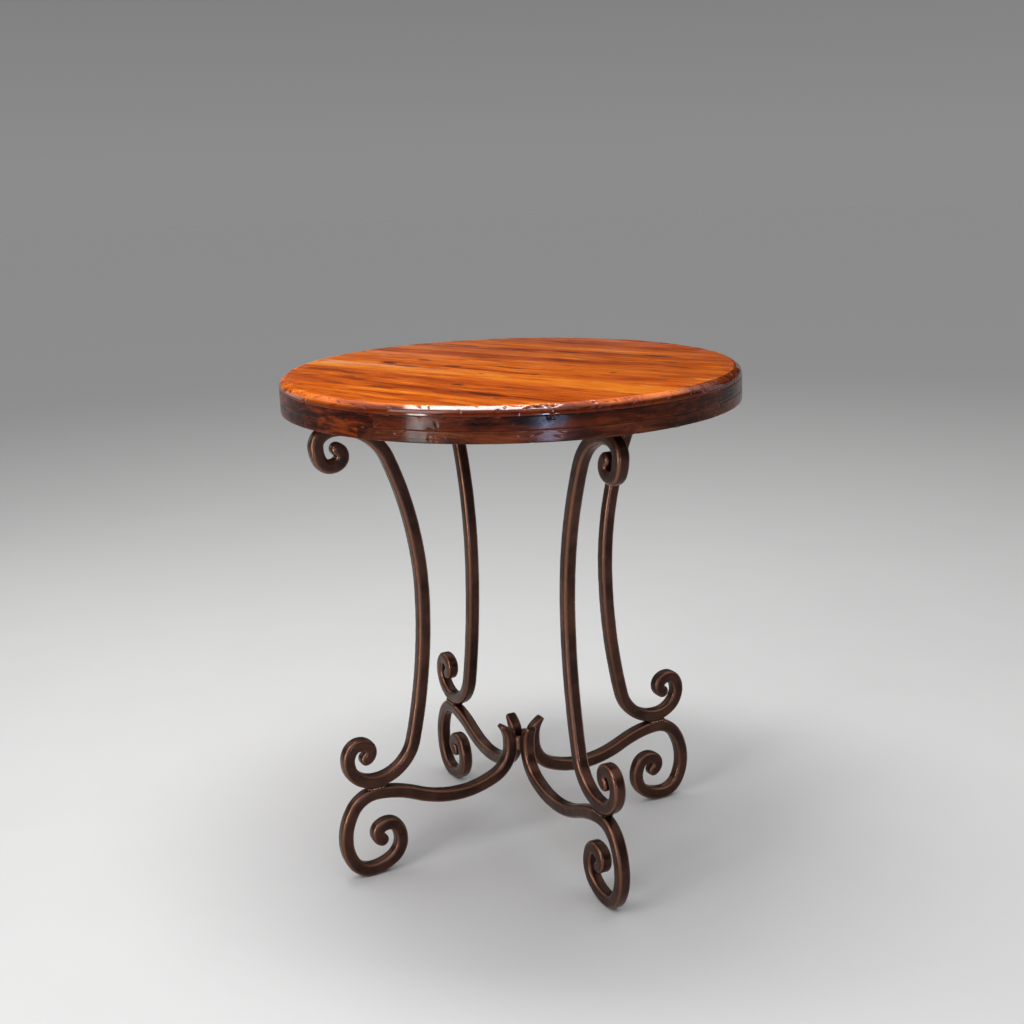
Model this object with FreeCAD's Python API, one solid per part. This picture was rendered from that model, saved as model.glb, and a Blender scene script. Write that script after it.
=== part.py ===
"""Round pub table: a planked top on a built-up rim, carried by four scrolled iron legs.

Each leg is one square bar bent into a long C with a scroll at both ends. It is welded to a foot bar,
which rises to a scrolled foot and runs in to the hub, where the four foot bars meet and flare apart.
Millimetres, +Z up, origin on the floor under the hub. The planks run along X.
"""
import FreeCAD
import Part
import math
import os

# Overall sizes
TABLE_HEIGHT = 1016.0
TOP_DIAMETER = 914.0

# Wooden top: glued planks over two layers of rim pieces
PLANK_COUNT = 7
PLANK_THICKNESS = 18.0
EDGE_ROUND = 16.0
UPPER_RIM_THICKNESS = 25.0
LOWER_RIM_THICKNESS = 22.0
RIM_WIDTH = 140.0
RIM_PIECES = 4
UPPER_RIM_TURN = 6.0
LOWER_RIM_TURN = 1.5

# Square iron bar, with eased corners
BAR = 27.0
BAR_EASE = 5.0
CURL_EYE = 2.5
CURL_TURN = 65.0

# Leg: where its bow passes, and how far each quarter turn of its scrolls runs
LEG_COUNT = 4
LEG_TURN = 65.0
APEX_INSET = 79.0
WAIST_RADIUS = 213.0
WAIST_HEIGHT = 568.0
UPPER_BOW = 0.49
LOWER_BOW = 2.1
TOP_SHOULDER_OUT = 39.0
TOP_SHOULDER_DROP = 31.0
TOP_SCROLL_DROP = 40.0
TOP_SCROLL_IN = 27.0
TOP_CURL_IN = 24.0
TOP_CURL_RISE = 18.0
LOW_SCROLL_OUT = 56.0
LOW_SCROLL_RISE = 51.0
LOW_SHOULDER_RISE = 33.0
LOW_SHOULDER_IN = 26.0
LOW_CURL_IN = 22.0
LOW_CURL_DROP = 18.0

# Foot bar: the hub end, the low sweep, the weld under the leg and the scrolled foot
WELD_RADIUS = 336.0
HUB_HEIGHT = 212.0
HUB_STRAIGHT = 10.0
FLARE_RADIUS = 56.0
FLARE_TURN = 39.0
TIP_THICKNESS = 9.0
TIP_SLANT = 62.0
SWEEP_RADIUS = 148.0
SWEEP_HEIGHT = 133.0
RISE_RADIUS = 245.0
RISE_HEIGHT = 155.0
RISE_SLOPE = 25.0
RISE_BOW = 2.4
FOOT_SHOULDER_OUT = 69.0
FOOT_SHOULDER_DROP = 92.0
FOOT_DROP = 72.0
FOOT_IN = 52.0
FOOT_HEEL_IN = 67.0
FOOT_HEEL_RISE = 52.0
FOOT_CURL_RISE = 40.0
FOOT_CURL_OUT = 28.0
FOOT_END_OUT = 24.0
FOOT_END_DROP = 18.0

# Leg plates, welded on the legs and screwed up into the rim
PLATE_THICKNESS = 5.0
PLATE_LENGTH = 96.0
PLATE_WIDTH = 60.0
PLATE_CORNER = 6.0
PLATE_HOLE_ALONG = 68.0
PLATE_HOLE_ACROSS = 42.0

# Wood screws
SCREW_DIAMETER = 4.2
SCREW_HEAD = 8.4
SCREW_POINT = 6.0
SCREW_CLEARANCE = 0.1
PLATE_SCREW_LENGTH = 34.0
RIM_SCREW_LENGTH = 55.0
RIM_SCREWS_PER_PIECE = 3

# Weld beads
NOTCH_BEAD = 5.0
NOTCH_BEAD_OFFSET = 16.0
HUB_BEAD = 6.0
HUB_BEAD_OFFSET = 15.5
HUB_BEAD_LENGTH = 28.0

# Levels and radii that follow from the sizes
TOP_RADIUS = TOP_DIAMETER / 2
APEX_RADIUS = TOP_RADIUS - APEX_INSET
PLANK_BOTTOM = TABLE_HEIGHT - PLANK_THICKNESS
UPPER_RIM_BOTTOM = PLANK_BOTTOM - UPPER_RIM_THICKNESS
TOP_BOTTOM = UPPER_RIM_BOTTOM - LOWER_RIM_THICKNESS
HALF_BAR = BAR / 2
CURL_RADIUS = HALF_BAR + CURL_EYE
APEX_HEIGHT = TOP_BOTTOM - PLATE_THICKNESS - HALF_BAR
HUMP_HEIGHT = HALF_BAR + FOOT_DROP + FOOT_SHOULDER_DROP
LEG_FOOT_HEIGHT = HUMP_HEIGHT + BAR
HUB_RADIUS = BAR

V = FreeCAD.Vector
UP = V(0, 0, 1)
CENTRE = V(0, 0, 0)


def heading(degrees):
    """Direction in a bar's plane: 0 points away from the hub, 90 points up."""
    return V(math.cos(math.radians(degrees)), 0, math.sin(math.radians(degrees)))


def left_of(direction):
    """Direction turned a quarter to the left in a bar's plane."""
    return V(-direction.z, 0, direction.x)


def arc_end(start, direction, radius, turn):
    """End point and end direction of an arc that turns left by so many degrees, or right if negative."""
    side = math.copysign(1, turn)
    centre = start + left_of(direction) * (radius * side)
    spin = FreeCAD.Rotation(V(0, -1, 0), turn)
    return centre + spin.multVec(start - centre), spin.multVec(direction)


def arc_edge(start, direction, end):
    """Arc that leaves start along direction and passes through end."""
    chord = end - start
    lean = math.atan2(direction.x * chord.z - direction.z * chord.x, direction.dot(chord))
    middle = (start + end) * 0.5 - left_of(chord) * (0.5 * math.tan(lean / 2))
    return Part.Arc(start, middle, end).toShape()


def arc_pair(start, start_dir, end, end_dir, fullness=1.0):
    """Two tangent arcs between two stations; fullness is the first arc's reach over the second's."""
    span = end - start
    a = 2 * fullness * (start_dir.dot(end_dir) - 1)
    b = -2 * span.dot(start_dir * fullness + end_dir)
    c = span.dot(span)
    reach = (-b - math.sqrt(b * b - 4 * a * c)) / (2 * a)
    first = start + start_dir * (fullness * reach)
    second = end - end_dir * reach
    middle = first + (second - first) * (fullness / (1 + fullness))
    middle_dir = (second - first).normalize()
    return [(start, start_dir, middle, middle_dir), (middle, middle_dir, end, end_dir)]


def quarter_turn(start, degrees, side, forward, across):
    """Quarter turn to one side (1 left, -1 right) that runs so far forward and so far across."""
    start_dir = heading(degrees)
    end_dir = heading(degrees + 90 * side)
    return arc_pair(start, start_dir, start + start_dir * forward + end_dir * across, end_dir)


def scroll(start, side, quarters):
    """Scroll that leaves start heading outward, runs its quarter turns and ends in a tight curl."""
    arcs = []
    degrees = 0
    for forward, across in quarters:
        arcs += quarter_turn(start, degrees, side, forward, across)
        start = arcs[-1][2]
        degrees += 90 * side
    end, end_dir = arc_end(start, heading(degrees), CURL_RADIUS, CURL_TURN * side)
    return arcs + [(start, heading(degrees), end, end_dir)]


def reversed_arcs(arcs):
    """The same arcs travelled the other way."""
    return [(end, end_dir * -1, start, start_dir * -1) for start, start_dir, end, end_dir in reversed(arcs)]


def offset_edges(arcs, distance):
    """Edges of a line of arcs moved sideways, to the left if positive."""
    edges = []
    for start, start_dir, end, end_dir in arcs:
        moved_start = start + left_of(start_dir) * distance
        moved_end = end + left_of(end_dir) * distance
        edges.append(arc_edge(moved_start, start_dir, moved_end))
    return edges


def end_cap(point, direction):
    """Rounded end of a bar that arrives at point along direction."""
    side = left_of(direction) * HALF_BAR
    return Part.Arc(point + side, point + direction * HALF_BAR, point - side).toShape()


def bar_solid(edges):
    """Square bar from its outline in the XZ plane, with its long corners eased."""
    outline = Part.Wire(Part.__sortEdges__(edges))
    face = Part.Face(outline)
    face.translate(V(0, -HALF_BAR, 0))
    bar = face.extrude(V(0, BAR, 0))
    corners = [edge for edge in bar.Edges if abs(abs(edge.CenterOfMass.y) - HALF_BAR) < 1e-6]
    return bar.makeChamfer(BAR_EASE, corners)


def leg():
    """One leg: top scroll, bow down to the waist and out again, and lower scroll."""
    apex = V(APEX_RADIUS, 0, APEX_HEIGHT)
    waist = V(WAIST_RADIUS, 0, WAIST_HEIGHT)
    heel = V(WELD_RADIUS, 0, LEG_FOOT_HEIGHT)
    top_quarters = [(TOP_SHOULDER_OUT, TOP_SHOULDER_DROP), (TOP_SCROLL_DROP, TOP_SCROLL_IN),
                    (TOP_CURL_IN, TOP_CURL_RISE)]
    low_quarters = [(LOW_SCROLL_OUT, LOW_SCROLL_RISE), (LOW_SHOULDER_RISE, LOW_SHOULDER_IN),
                    (LOW_CURL_IN, LOW_CURL_DROP)]
    arcs = reversed_arcs(scroll(apex, -1, top_quarters))
    arcs += arc_pair(apex, heading(180), waist, heading(270), UPPER_BOW)
    arcs += arc_pair(waist, heading(270), heel, heading(0), LOWER_BOW)
    arcs += scroll(heel, 1, low_quarters)
    caps = [end_cap(arcs[0][0], arcs[0][1] * -1), end_cap(arcs[-1][2], arcs[-1][3])]
    return bar_solid(offset_edges(arcs, HALF_BAR) + offset_edges(arcs, -HALF_BAR) + caps)


def hub_end(low_inner, low_outer):
    """Edges of a foot bar's end at the hub: straight up, then flared outward and drawn to a thin tip."""
    inner = low_inner + UP * HUB_STRAIGHT
    outer = low_outer + UP * HUB_STRAIGHT
    tip, tip_dir = arc_end(outer, heading(90), FLARE_RADIUS, -FLARE_TURN)
    back = tip + left_of(tip_dir) * TIP_THICKNESS
    edges = [Part.LineSegment(low_inner, inner).toShape(), Part.LineSegment(low_outer, outer).toShape()]
    edges += [arc_edge(outer, heading(90), tip), Part.LineSegment(tip, back).toShape()]
    bevel = arc_pair(inner, heading(90), back, heading(90 - TIP_SLANT))
    return edges + offset_edges(bevel, 0)


def foot_bar():
    """One foot bar: hub end, low sweep, rise to the weld under the leg, and scrolled foot."""
    hub = V(HUB_RADIUS, 0, HUB_HEIGHT)
    sweep = V(SWEEP_RADIUS, 0, SWEEP_HEIGHT)
    rise = V(RISE_RADIUS, 0, RISE_HEIGHT)
    hump = V(WELD_RADIUS, 0, HUMP_HEIGHT)
    quarters = [(FOOT_SHOULDER_OUT, FOOT_SHOULDER_DROP), (FOOT_DROP, FOOT_IN),
                (FOOT_HEEL_IN, FOOT_HEEL_RISE), (FOOT_CURL_RISE, FOOT_CURL_OUT),
                (FOOT_END_OUT, FOOT_END_DROP)]
    arcs = arc_pair(hub, heading(270), sweep, heading(0))
    arcs += arc_pair(sweep, heading(0), rise, heading(RISE_SLOPE))
    arcs += arc_pair(rise, heading(RISE_SLOPE), hump, heading(0), RISE_BOW)
    arcs += scroll(hump, -1, quarters)
    side = V(HALF_BAR, 0, 0)
    edges = hub_end(hub - side, hub + side) + [end_cap(arcs[-1][2], arcs[-1][3])]
    return bar_solid(edges + offset_edges(arcs, HALF_BAR) + offset_edges(arcs, -HALF_BAR))


def round_the_hub(shape):
    """Copies of a shape modelled in the XZ plane, one in each leg's plane."""
    copies = []
    for index in range(LEG_COUNT):
        turned = shape.copy()
        turned.rotate(CENTRE, UP, LEG_TURN + 360 / LEG_COUNT * index)
        copies.append(turned)
    return copies


def screw_profile(length, clearance):
    """Countersunk wood screw or its hole, point up, head flush with z = 0."""
    shank = SCREW_DIAMETER / 2 + clearance
    head = SCREW_HEAD / 2 + clearance
    points = [V(0, 0, 0), V(head, 0, 0), V(shank, 0, head - shank), V(shank, 0, length - SCREW_POINT),
              V(0, 0, length)]
    return Part.Face(Part.makePolygon(points + points[:1])).revolve(CENTRE, UP, 360)


def at(shape, place):
    """Copy of a shape moved to a place."""
    moved = shape.copy()
    moved.translate(place)
    return moved


def plate_screws(clearance):
    """The screws of one leg plate, or their holes, in the XZ plane's leg."""
    screw = screw_profile(PLATE_SCREW_LENGTH, clearance)
    head_level = TOP_BOTTOM - PLATE_THICKNESS
    return [at(screw, V(APEX_RADIUS + PLATE_HOLE_ALONG / 2 * along, PLATE_HOLE_ACROSS / 2 * across, head_level))
            for along in (-1, 1) for across in (-1, 1)]


def rim_screws(clearance):
    """Screws that hold both rim layers up to the planks, or their holes."""
    screw = at(screw_profile(RIM_SCREW_LENGTH, clearance), V(TOP_RADIUS - RIM_WIDTH / 2, 0, TOP_BOTTOM))
    count = RIM_PIECES * RIM_SCREWS_PER_PIECE
    screws = []
    for index in range(count):
        turned = screw.copy()
        turned.rotate(CENTRE, UP, LOWER_RIM_TURN + 360 / count * (index + 0.5))
        screws.append(turned)
    return screws


def leg_plate():
    """Flat plate that lies on a leg's top and takes four screws."""
    corner = V(APEX_RADIUS - PLATE_LENGTH / 2, -PLATE_WIDTH / 2, TOP_BOTTOM - PLATE_THICKNESS)
    plate = Part.makeBox(PLATE_LENGTH, PLATE_WIDTH, PLATE_THICKNESS, corner)
    upright = [edge for edge in plate.Edges if abs(edge.tangentAt(edge.FirstParameter).z) > 0.5]
    return plate.makeFillet(PLATE_CORNER, upright).cut(Part.makeCompound(plate_screws(SCREW_CLEARANCE)))


def planks(holes):
    """Parallel planks cut round together, with the upper edge rounded over."""
    disc = Part.makeCylinder(TOP_RADIUS, PLANK_THICKNESS, V(0, 0, PLANK_BOTTOM))
    upper = [edge for edge in disc.Edges if edge.Closed and edge.CenterOfMass.z > TABLE_HEIGHT - 1e-6]
    disc = disc.makeFillet(EDGE_ROUND, upper).cut(holes)
    width = TOP_DIAMETER / PLANK_COUNT
    strips = []
    for index in range(PLANK_COUNT):
        corner = V(-TOP_RADIUS, -TOP_RADIUS + width * index, PLANK_BOTTOM)
        strips.append(disc.common(Part.makeBox(TOP_DIAMETER, width, PLANK_THICKNESS, corner)))
    return strips


def rim_pieces(bottom, thickness, turn, holes):
    """One layer of the built-up rim: curved pieces that meet end to end."""
    sweep = 360 / RIM_PIECES
    inner = TOP_RADIUS - RIM_WIDTH
    outline = Part.makePolygon([V(inner, 0, bottom), V(TOP_RADIUS, 0, bottom), V(TOP_RADIUS, 0, bottom + thickness),
                                V(inner, 0, bottom + thickness), V(inner, 0, bottom)])
    piece = Part.Face(outline).revolve(CENTRE, UP, sweep)
    pieces = []
    for index in range(RIM_PIECES):
        turned = piece.copy()
        turned.rotate(CENTRE, UP, turn + sweep * index)
        pieces.append(turned.cut(holes))
    return pieces


def notch_beads(radius, level, neighbours):
    """Weld beads across a bar, one in the notch on each side of where it touches its neighbour."""
    beads = []
    for side in (-1, 1):
        foot = V(radius + NOTCH_BEAD_OFFSET * side, -HALF_BAR, level)
        beads.append(Part.makeCylinder(NOTCH_BEAD, BAR, foot, V(0, 1, 0)).cut(neighbours))
    return beads


def hub_beads(bars):
    """Upright weld beads in the grooves between neighbouring foot bars."""
    beads = []
    for index in range(LEG_COUNT):
        spin = FreeCAD.Rotation(UP, LEG_TURN + 360 / LEG_COUNT * (index + 0.5))
        foot = spin.multVec(V(HUB_BEAD_OFFSET * math.sqrt(2), 0, 0))
        foot.z = HUB_HEIGHT + HUB_STRAIGHT / 2 - HUB_BEAD_LENGTH / 2
        beads.append(Part.makeCylinder(HUB_BEAD, HUB_BEAD_LENGTH, foot).cut(bars))
    return beads


def solids_of(shapes):
    """One group with every separate solid of the shapes."""
    return Part.makeCompound([solid for shape in shapes for solid in shape.Solids])


def numbered(name, shapes):
    """Pieces by node name, counted from 1."""
    return {f"{name}_{index}": shape for index, shape in enumerate(shapes, 1)}


def build():
    """Every piece of the table, by node name."""
    one_leg = leg()
    one_foot_bar = foot_bar()
    one_plate = leg_plate()
    foot_bars = round_the_hub(one_foot_bar)
    plate_holes = round_the_hub(Part.makeCompound(plate_screws(SCREW_CLEARANCE)))
    holes = Part.makeCompound(plate_holes + rim_screws(SCREW_CLEARANCE))
    leg_beads = notch_beads(WELD_RADIUS, HUMP_HEIGHT + HALF_BAR, [one_leg, one_foot_bar])
    plate_beads = notch_beads(APEX_RADIUS, APEX_HEIGHT + HALF_BAR, [one_leg, one_plate])
    below_plate = Part.makeBox(TOP_RADIUS, TOP_RADIUS, PLATE_THICKNESS * 2,
                               V(0, -TOP_RADIUS / 2, TOP_BOTTOM - PLATE_THICKNESS))
    plate_beads = [bead.cut(below_plate) for bead in plate_beads]

    pieces = numbered("plank", planks(holes))
    pieces |= numbered("upper_rim", rim_pieces(UPPER_RIM_BOTTOM, UPPER_RIM_THICKNESS, UPPER_RIM_TURN, holes))
    pieces |= numbered("lower_rim", rim_pieces(TOP_BOTTOM, LOWER_RIM_THICKNESS, LOWER_RIM_TURN, holes))
    pieces |= numbered("leg", round_the_hub(one_leg))
    pieces |= numbered("foot_bar", foot_bars)
    pieces |= numbered("leg_plate", round_the_hub(one_plate))
    pieces["leg_welds"] = solids_of(round_the_hub(Part.makeCompound(leg_beads)))
    pieces["plate_welds"] = solids_of(round_the_hub(Part.makeCompound(plate_beads)))
    pieces["hub_welds"] = solids_of(hub_beads(foot_bars))
    pieces["plate_screws"] = solids_of(round_the_hub(Part.makeCompound(plate_screws(0))))
    pieces["rim_screws"] = solids_of(rim_screws(0))
    return pieces


os.makedirs("parts", exist_ok=True)
for node, shape in build().items():
    shape.exportStep(f"parts/{node}.step")
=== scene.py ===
import math
from random import Random

import bmesh
import bpy
from mathutils import Matrix, Vector, noise


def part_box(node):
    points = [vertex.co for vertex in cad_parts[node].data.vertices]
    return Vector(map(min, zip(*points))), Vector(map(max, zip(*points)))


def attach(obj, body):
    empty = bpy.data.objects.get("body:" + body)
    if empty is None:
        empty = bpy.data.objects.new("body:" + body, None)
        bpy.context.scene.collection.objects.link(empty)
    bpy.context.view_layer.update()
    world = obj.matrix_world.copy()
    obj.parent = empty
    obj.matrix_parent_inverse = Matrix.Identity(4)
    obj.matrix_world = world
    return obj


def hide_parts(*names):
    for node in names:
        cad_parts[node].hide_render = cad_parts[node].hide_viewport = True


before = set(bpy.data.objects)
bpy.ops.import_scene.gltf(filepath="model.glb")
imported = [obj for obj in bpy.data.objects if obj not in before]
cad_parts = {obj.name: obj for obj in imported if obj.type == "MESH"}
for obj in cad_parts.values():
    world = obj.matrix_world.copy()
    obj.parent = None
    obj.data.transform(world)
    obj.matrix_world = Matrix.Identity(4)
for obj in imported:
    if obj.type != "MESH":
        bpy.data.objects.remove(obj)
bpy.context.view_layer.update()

# How many planks and pieces in a ring, and turns in degrees
PLANKS = 7
RING = 4
QUARTER = 360.0 / RING
UPPER_RIM_TURN = 6.0
LOWER_RIM_TURN = 1.5
LEG_TURN = 65.0
VIEW_TURN = 38.0

# Sizes of the wooden edge, in metres, and the steps that it is turned in
TOP_RADIUS = 0.457
ROUND_OVER = 0.016
RIM_INNER = 0.317
ARRIS = 0.0009
UNDERSIDE_BACK = 0.012
UNDERSIDE_INNER = 0.034
RIM_ROW = 0.0026
EDGE_STEPS = 1800
ARRIS_STEPS = 3

# The flat planed on the round-over: tilts in degrees, and how much of the round is left in it
ROUND_TILTS = (0, 6, 12, 18, 25, 31, 37, 43, 50, 56, 63, 70, 77, 84, 90)
FLAT_FROM = 12
FLAT_TO = 56
FLAT_ROUNDNESS = 0.12

# Wear of the edge: on the flat at distances back from the lip, over the round, on the arrises and the face
LIP_WEAR = ((0.020, 0.0), (0.012, 0.15), (0.006, 0.5), (0.002, 0.9))
LIP_WEAR_TILT = 50
ROUND_END_WEAR = 0.2
PLANK_ARRIS_WEAR = 0.7
RIM_ARRIS_WEAR = 0.8
RIM_FACE_WEAR = 0.25

# Scraping of the outer band of the wood, in metres and marks per metre
WORKED_BAND = 0.036
WORKED_EASE = 0.01
SCRAPE_DEPTH = 0.00018
SCRAPE_SWING = 0.0003
SCRAPE_GRAIN = 34.0

# Knocks: lean and reach in radians, sizes in metres, how many an edge has and where down its profile they lie
KNOCK_LEAN = 1.3
KNOCK_REACH = 0.04
KNOCK_HALF_LENGTH = (0.003, 0.012)
KNOCK_HALF_WIDTH = (0.0012, 0.003)
KNOCK_DEPTH = (0.0003, 0.0013)
PLANK_KNOCKS = (120, 0.0, 0.046)
RIM_KNOCKS = (55, 0.136, 0.180)

# What depth does to the wood, and how far in from the edge it is left raw inside and underneath
DARKENING_DEPTHS = (0.0008, 0.0018)
DEPTH_WEAR = 400
MOST_DEPTH_WEAR = 0.6
RAW_INSIDE = 0.1
RAW_UNDERNEATH = 0.01

# Seeds, a rim piece's end gap and the sharpest smooth fold in radians, and lengths of board between pieces
PLANK_SEED = 11
UPPER_RIM_SEED = 31
LOWER_RIM_SEED = 52
RIM_END_GAP = 0.0003
PLANK_SHIFT = 1.9
RIM_SHIFT = 3.7
SHARP_FOLD = 0.6

# The forged bars, in metres, and how they are eased
BAR_HALF = 0.0135
BAR_GRAIN = 0.0020
BAR_HAMMER = 0.00028
BAR_SINK = 0.0001
BAR_SHIFT = 7.0
HAMMER_GRAIN = 45.0
EASE_SHARE = 0.5
EASE_ROUNDS = 5
# How narrow the corner mask is that carries the painted copper highlight
CORNER_CRISPNESS = 1.5

# Weld beads, in metres
BEAD_STEP = 0.0009
BEAD_LEAST_STEPS = 10
BEAD_SIDES = 14
BEAD_PITCH = (0.0030, 0.0040)
BEAD_RIPPLE = 0.14
BEAD_END_SQUARENESS = 8
BEAD_GRAIN = 220.0
SAME_POINT = 1e-6

# Seams between legs and foot bars, in metres, with the places of the bright spots as shares of the seam
SEAM_SEED = 5
SEAM_LONGEST = 0.06
SEAM_SINK = 0.0050
SEAM_RADIUS = 0.0046
SPOT_SINK = 0.0007
SPOT_HALF_LENGTH = (0.0016, 0.0030)
SPOT_RADIUS = (0.0012, 0.0016)
SPOT_FROM = 0.06
SPOT_TO = 0.94
SPOT_GAP = (0.13, 0.24)


# Node helpers

def add(tree, kind, feeds=None, **settings):
    """One node, its settings, and what goes into its sockets: a value or another node's output."""
    made = tree.nodes.new(kind)
    for name, value in settings.items():
        setattr(made, name, value)
    for name, value in (feeds or {}).items():
        if isinstance(value, bpy.types.NodeSocket):
            tree.links.new(value, made.inputs[name])
        else:
            made.inputs[name].default_value = value
    return made


def calc(tree, work, first, second=0.0):
    """What one or two values make."""
    return add(tree, "ShaderNodeMath", {0: first, 1: second}, operation=work).outputs[0]


def plus(tree, first, second):
    """Two values added."""
    return calc(tree, "ADD", first, second)


def minus(tree, first, second):
    """The second value taken from the first."""
    return calc(tree, "SUBTRACT", first, second)


def times(tree, first, second):
    """Two values multiplied."""
    return calc(tree, "MULTIPLY", first, second)


def swing(tree, value, share):
    """A share of how far a value lies from one half."""
    return times(tree, minus(tree, value, 0.5), share)


def strongest(tree, masks):
    """The greatest of several masks."""
    most, *rest = masks
    for mask in rest:
        most = calc(tree, "MAXIMUM", most, mask)
    return most


def fade(tree, value, start, end, low=0.0, high=1.0):
    """A soft step from low to high as the value goes from start to end."""
    feeds = {"Value": value, "From Min": start, "From Max": end, "To Min": low, "To Max": high}
    return add(tree, "ShaderNodeMapRange", feeds, interpolation_type="SMOOTHSTEP").outputs["Result"]


def tint(tree, share, under, over, blend="MIX"):
    """One colour laid over another."""
    feeds = {0: share, 6: under, 7: over}
    return add(tree, "ShaderNodeMix", feeds, data_type="RGBA", blend_type=blend).outputs[2]


def layered(tree, colour, layers):
    """Colours laid over the first one in turn, each through a share of its mask."""
    for mask, share, shade in layers:
        colour = tint(tree, times(tree, mask, share), colour, (*shade, 1))
    return colour


def stretched(tree, place, along, across, up):
    """The place, with each of its directions scaled."""
    feeds = {0: place, 1: (along, across, up)}
    return add(tree, "ShaderNodeVectorMath", feeds, operation="MULTIPLY").outputs[0]


def scaled(tree, place, scale):
    """The place, with all its directions scaled alike."""
    return add(tree, "ShaderNodeVectorMath", {0: place, "Scale": scale}, operation="SCALE").outputs[0]


def cloud(tree, place, detail=2.0, roughness=0.5, twist=0.0):
    """Noise from 0 to 1 about a middle of one half."""
    feeds = {"Vector": place, "Scale": 1.0, "Detail": detail, "Roughness": roughness, "Distortion": twist}
    return add(tree, "ShaderNodeTexNoise", feeds).outputs["Fac"]


def chosen_cells(tree, place, channel, level):
    """How far the middle of the nearest cell is, and whether that cell is one of the chosen."""
    cells = add(tree, "ShaderNodeTexVoronoi", {"Vector": place, "Scale": 1.0})
    drawn = add(tree, "ShaderNodeSeparateColor", {"Color": cells.outputs["Color"]}).outputs[channel]
    return cells.outputs["Distance"], calc(tree, "GREATER_THAN", drawn, level)


def new_group(name, inputs, outputs):
    """An empty node group and its two ends: inputs are places (None) or values, outputs are values."""
    group = bpy.data.node_groups.new(name, "ShaderNodeTree")
    for label, value in inputs.items():
        kind = "NodeSocketVector" if value is None else "NodeSocketFloat"
        socket = group.interface.new_socket(label, in_out="INPUT", socket_type=kind)
        if value is not None:
            socket.default_value = value
    for label in outputs:
        group.interface.new_socket(label, in_out="OUTPUT", socket_type="NodeSocketFloat")
    return group, group.nodes.new("NodeGroupInput"), group.nodes.new("NodeGroupOutput")


def put_out(group, end, **values):
    """Links the values of a group to its outputs of the same names."""
    for label, value in values.items():
        group.links.new(value, end.inputs[label])


def use(tree, group, feeds):
    """The group, placed in a material with its own values."""
    return add(tree, "ShaderNodeGroup", feeds, node_tree=group)


def ramp(tree, value, stops):
    """A colour for each value, from stops of place and colour."""
    made = add(tree, "ShaderNodeValToRGB", {"Fac": value})
    band = made.color_ramp
    while len(band.elements) < len(stops):
        band.elements.new(0.5)
    for element, (place, colour) in zip(band.elements, stops):
        element.position = place
        element.color = (*colour, 1.0)
    return made.outputs["Color"]


def new_finish(name):
    """A material with its shader and nothing else."""
    finish = bpy.data.materials.new(name)
    finish.use_nodes = True
    shader = finish.node_tree.nodes["Principled BSDF"]
    return finish, finish.node_tree, shader


def raised(tree, shader, height, distance, strength=1.0):
    """Bumps in the surface, from a height."""
    bump = add(tree, "ShaderNodeBump", {"Height": height, "Distance": distance, "Strength": strength})
    tree.links.new(bump.outputs["Normal"], shader.inputs["Normal"])


def surface(tree, name, output="Vector"):
    """A value that the mesh carries."""
    return add(tree, "ShaderNodeAttribute", attribute_name=name).outputs[output]


def new_object(name, data):
    """An object in the scene."""
    made = bpy.data.objects.new(name, data)
    bpy.context.scene.collection.objects.link(made)
    return made


# Effects that several finishes share

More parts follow.
